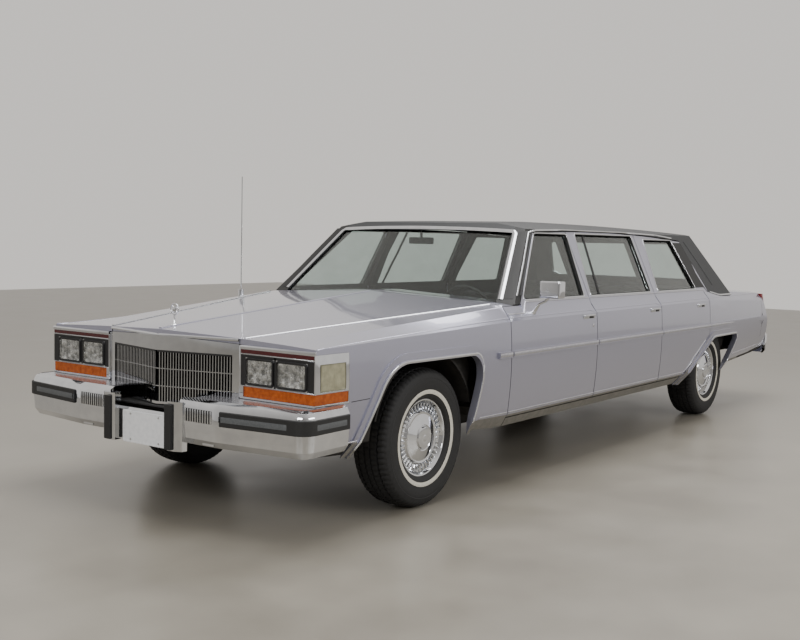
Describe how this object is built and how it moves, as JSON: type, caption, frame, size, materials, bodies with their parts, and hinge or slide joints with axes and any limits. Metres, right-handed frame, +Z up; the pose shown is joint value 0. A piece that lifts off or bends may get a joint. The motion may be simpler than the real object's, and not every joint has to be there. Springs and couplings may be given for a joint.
{
  "type": "six-door limousine",
  "caption": "Six-door formal limousine with a padded vinyl roof, doors, hood and trunk lid that open, and steered, rolling wheels.",
  "frame": {"origin": "on the ground under the middle of the overall box, mirror included", "axes": "+X forward, +Y to the left side, +Z up"},
  "size_m": [6.475, 2.0719, 1.6929],
  "materials": {
    "silver_paint": "metallic gloss",
    "roof_vinyl": "padded vinyl with a fine grain",
    "glass": "tinted glass",
    "chrome": "bright chrome",
    "lamp_glass": "clear lamp glass",
    "red_lens": "red lens",
    "black_rubber": "matte",
    "tyre": "black with a white wall",
    "wheel_chrome": "bright pressed cover",
    "chassis_steel": "black underseal",
    "engine_iron": "painted",
    "dark_plastic": "grained",
    "seat_fabric": "velour"
  },
  "bodies": {
    "root": {"antenna": "chrome", "bumper_guards": "black_rubber", "cowl": "silver_paint", "dashboard": "dark_plastic", "engine": "engine_iron", "exhaust": "chassis_steel", "floor_pan": "chassis_steel", "frame_rails": "chassis_steel", "front_bumper": "chrome", "front_seat": "seat_fabric", "front_suspension": "chassis_steel", "fuel_tank": "chassis_steel", "grille": "chrome", "headlamps": "lamp_glass", "lamp_bezels": "chrome", "left_front_fender": "silver_paint", "left_quarter_panel": "silver_paint", "left_side_frame": "silver_paint", "middle_seat": "seat_fabric", "rear_axle": "chassis_steel", "rear_bumper": "chrome", "rear_deck": "silver_paint", "rear_seat": "seat_fabric", "rear_window": "glass", "right_front_fender": "silver_paint", "right_quarter_panel": "silver_paint", "right_side_frame": "silver_paint", "roof": "roof_vinyl", "tail_lamps": "red_lens", "tail_panel": "silver_paint", "wheel_houses": "chassis_steel", "windshield": "glass"},
    "hood": {"hood": "silver_paint"},
    "trunk_lid": {"trunk_lid": "silver_paint"},
    "steering_wheel": {"steering_wheel": "dark_plastic"},
    "left_front_door": {"left_front_door": "silver_paint", "left_front_door_glass": "glass", "door_mirror": "chrome"},
    "left_middle_door": {"left_middle_door": "silver_paint", "left_middle_door_glass": "glass"},
    "left_rear_door": {"left_rear_door": "silver_paint", "left_rear_door_glass": "glass"},
    "left_knuckle": {"left_knuckle": "chassis_steel"},
    "left_front_wheel": {"left_front_wheel": "wheel_chrome", "left_front_tyre": "tyre"},
    "left_rear_wheel": {"left_rear_wheel": "wheel_chrome", "left_rear_tyre": "tyre"},
    "right_front_door": {"right_front_door": "silver_paint", "right_front_door_glass": "glass"},
    "right_middle_door": {"right_middle_door": "silver_paint", "right_middle_door_glass": "glass"},
    "right_rear_door": {"right_rear_door": "silver_paint", "right_rear_door_glass": "glass"},
    "right_knuckle": {"right_knuckle": "chassis_steel"},
    "right_front_wheel": {"right_front_wheel": "wheel_chrome", "right_front_tyre": "tyre"},
    "right_rear_wheel": {"right_rear_wheel": "wheel_chrome", "right_rear_tyre": "tyre"}
  },
  "joints": [
    {"name": "left_front_door_hinge", "type": "hinge", "parent": "root", "child": "left_front_door", "pos_m": [1.4425, 0.908, 0.65], "axis": [0, 0, -1], "range_deg": [0, 65]},
    {"name": "left_middle_door_hinge", "type": "hinge", "parent": "root", "child": "left_middle_door", "pos_m": [0.3785, 0.908, 0.65], "axis": [0, 0, -1], "range_deg": [0, 65]},
    {"name": "left_rear_door_hinge", "type": "hinge", "parent": "root", "child": "left_rear_door", "pos_m": [-0.6525, 0.908, 0.65], "axis": [0, 0, -1], "range_deg": [0, 65]},
    {"name": "left_steer", "type": "hinge", "parent": "root", "child": "left_knuckle", "pos_m": [2.1525, 0.651, 0.35], "axis": [0, 0, 1], "range_deg": [-33, 33]},
    {"name": "left_front_roll", "type": "hinge", "parent": "left_knuckle", "child": "left_front_wheel", "pos_m": [2.1525, 0.7195, 0.35], "axis": [0, 1, 0], "continuous": true},
    {"name": "left_rear_roll", "type": "hinge", "parent": "root", "child": "left_rear_wheel", "pos_m": [-1.7975, 0.707, 0.35], "axis": [0, 1, 0], "continuous": true},
    {"name": "right_front_door_hinge", "type": "hinge", "parent": "root", "child": "right_front_door", "pos_m": [1.4425, -1.036, 0.65], "axis": [0, 0, 1], "range_deg": [0, 65]},
    {"name": "right_middle_door_hinge", "type": "hinge", "parent": "root", "child": "right_middle_door", "pos_m": [0.3785, -1.036, 0.65], "axis": [0, 0, 1], "range_deg": [0, 65]},
    {"name": "right_rear_door_hinge", "type": "hinge", "parent": "root", "child": "right_rear_door", "pos_m": [-0.6525, -1.036, 0.65], "axis": [0, 0, 1], "range_deg": [0, 65]},
    {"name": "right_steer", "type": "hinge", "parent": "root", "child": "right_knuckle", "pos_m": [2.1525, -0.779, 0.35], "axis": [0, 0, 1], "range_deg": [-33, 33]},
    {"name": "right_front_roll", "type": "hinge", "parent": "right_knuckle", "child": "right_front_wheel", "pos_m": [2.1525, -0.8475, 0.35], "axis": [0, 1, 0], "continuous": true},
    {"name": "right_rear_roll", "type": "hinge", "parent": "root", "child": "right_rear_wheel", "pos_m": [-1.7975, -0.835, 0.35], "axis": [0, 1, 0], "continuous": true},
    {"name": "hood_hinge", "type": "hinge", "parent": "root", "child": "hood", "pos_m": [1.3525, -0.064, 0.99], "axis": [0, -1, 0], "range_deg": [0, 50]},
    {"name": "trunk_hinge", "type": "hinge", "parent": "root", "child": "trunk_lid", "pos_m": [-2.2055, -0.064, 1.005], "axis": [0, 1, 0], "range_deg": [0, 70]},
    {"name": "steering_wheel_turn", "type": "hinge", "parent": "root", "child": "steering_wheel", "pos_m": [0.9625, 0.306, 0.88], "axis": [-0.9424, 0, 0.3344], "range_deg": [-462, 462]}
  ],
  "couplings": [
    {"joint": "right_steer", "follows": "left_steer", "ratio": 1},
    {"joint": "steering_wheel_turn", "follows": "left_steer", "ratio": 14}
  ]
}
